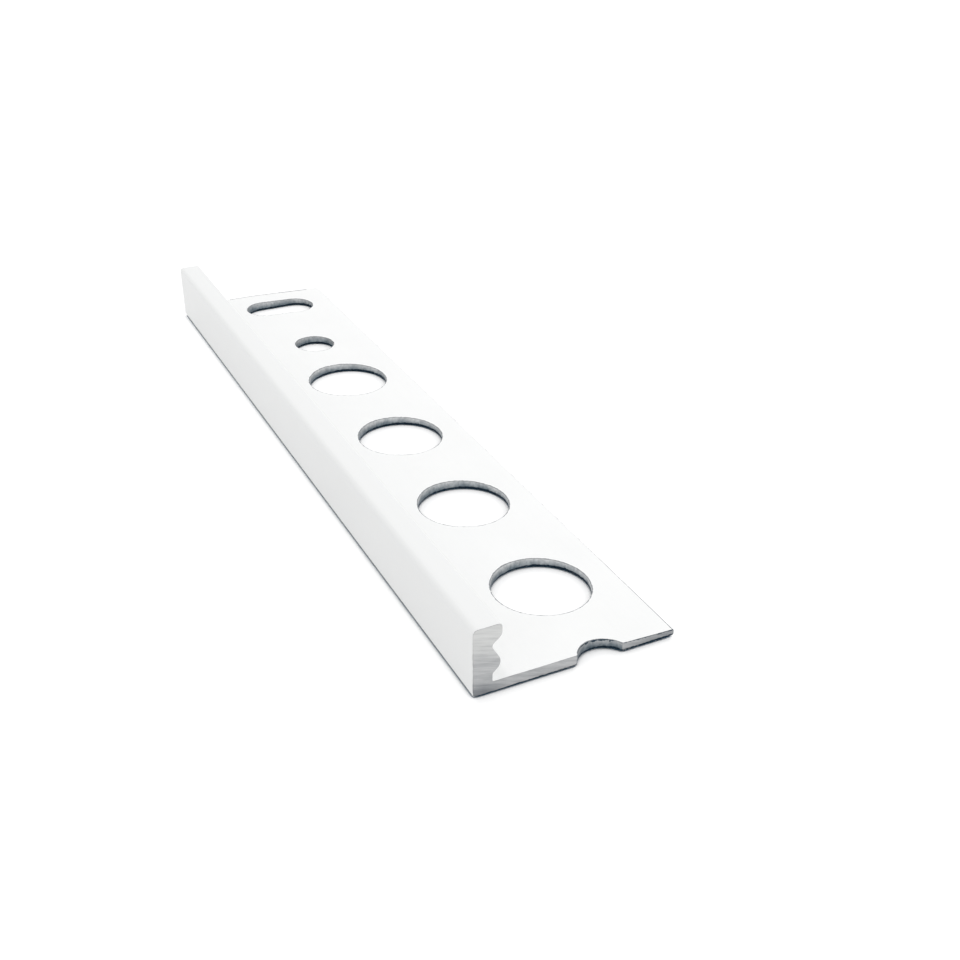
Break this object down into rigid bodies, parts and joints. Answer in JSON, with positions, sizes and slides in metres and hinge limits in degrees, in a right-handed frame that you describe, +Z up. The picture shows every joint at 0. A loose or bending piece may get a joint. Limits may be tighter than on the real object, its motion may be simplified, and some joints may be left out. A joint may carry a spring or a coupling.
{
  "type": "tile edge trim",
  "caption": "Short L-shaped metal tile edge trim with a solid straight rim, a wavy keyed inner face and a thin punched anchoring leg that is bedded under the tile.",
  "frame": {"origin": "centre of the trim's box, on the level of the leg's underside, which lies on the floor", "axes": "+X across the section from the rim to the leg's free edge, +Y along the length, +Z up from the leg's underside to the rim's top"},
  "size_m": [0.0294, 0.1386, 0.01],
  "materials": {
    "white_coat": "satin white powder coat, bare metal at the saw cuts and punched walls"
  },
  "bodies": {
    "root": {"edge_trim": "white_coat"}
  },
  "joints": []
}
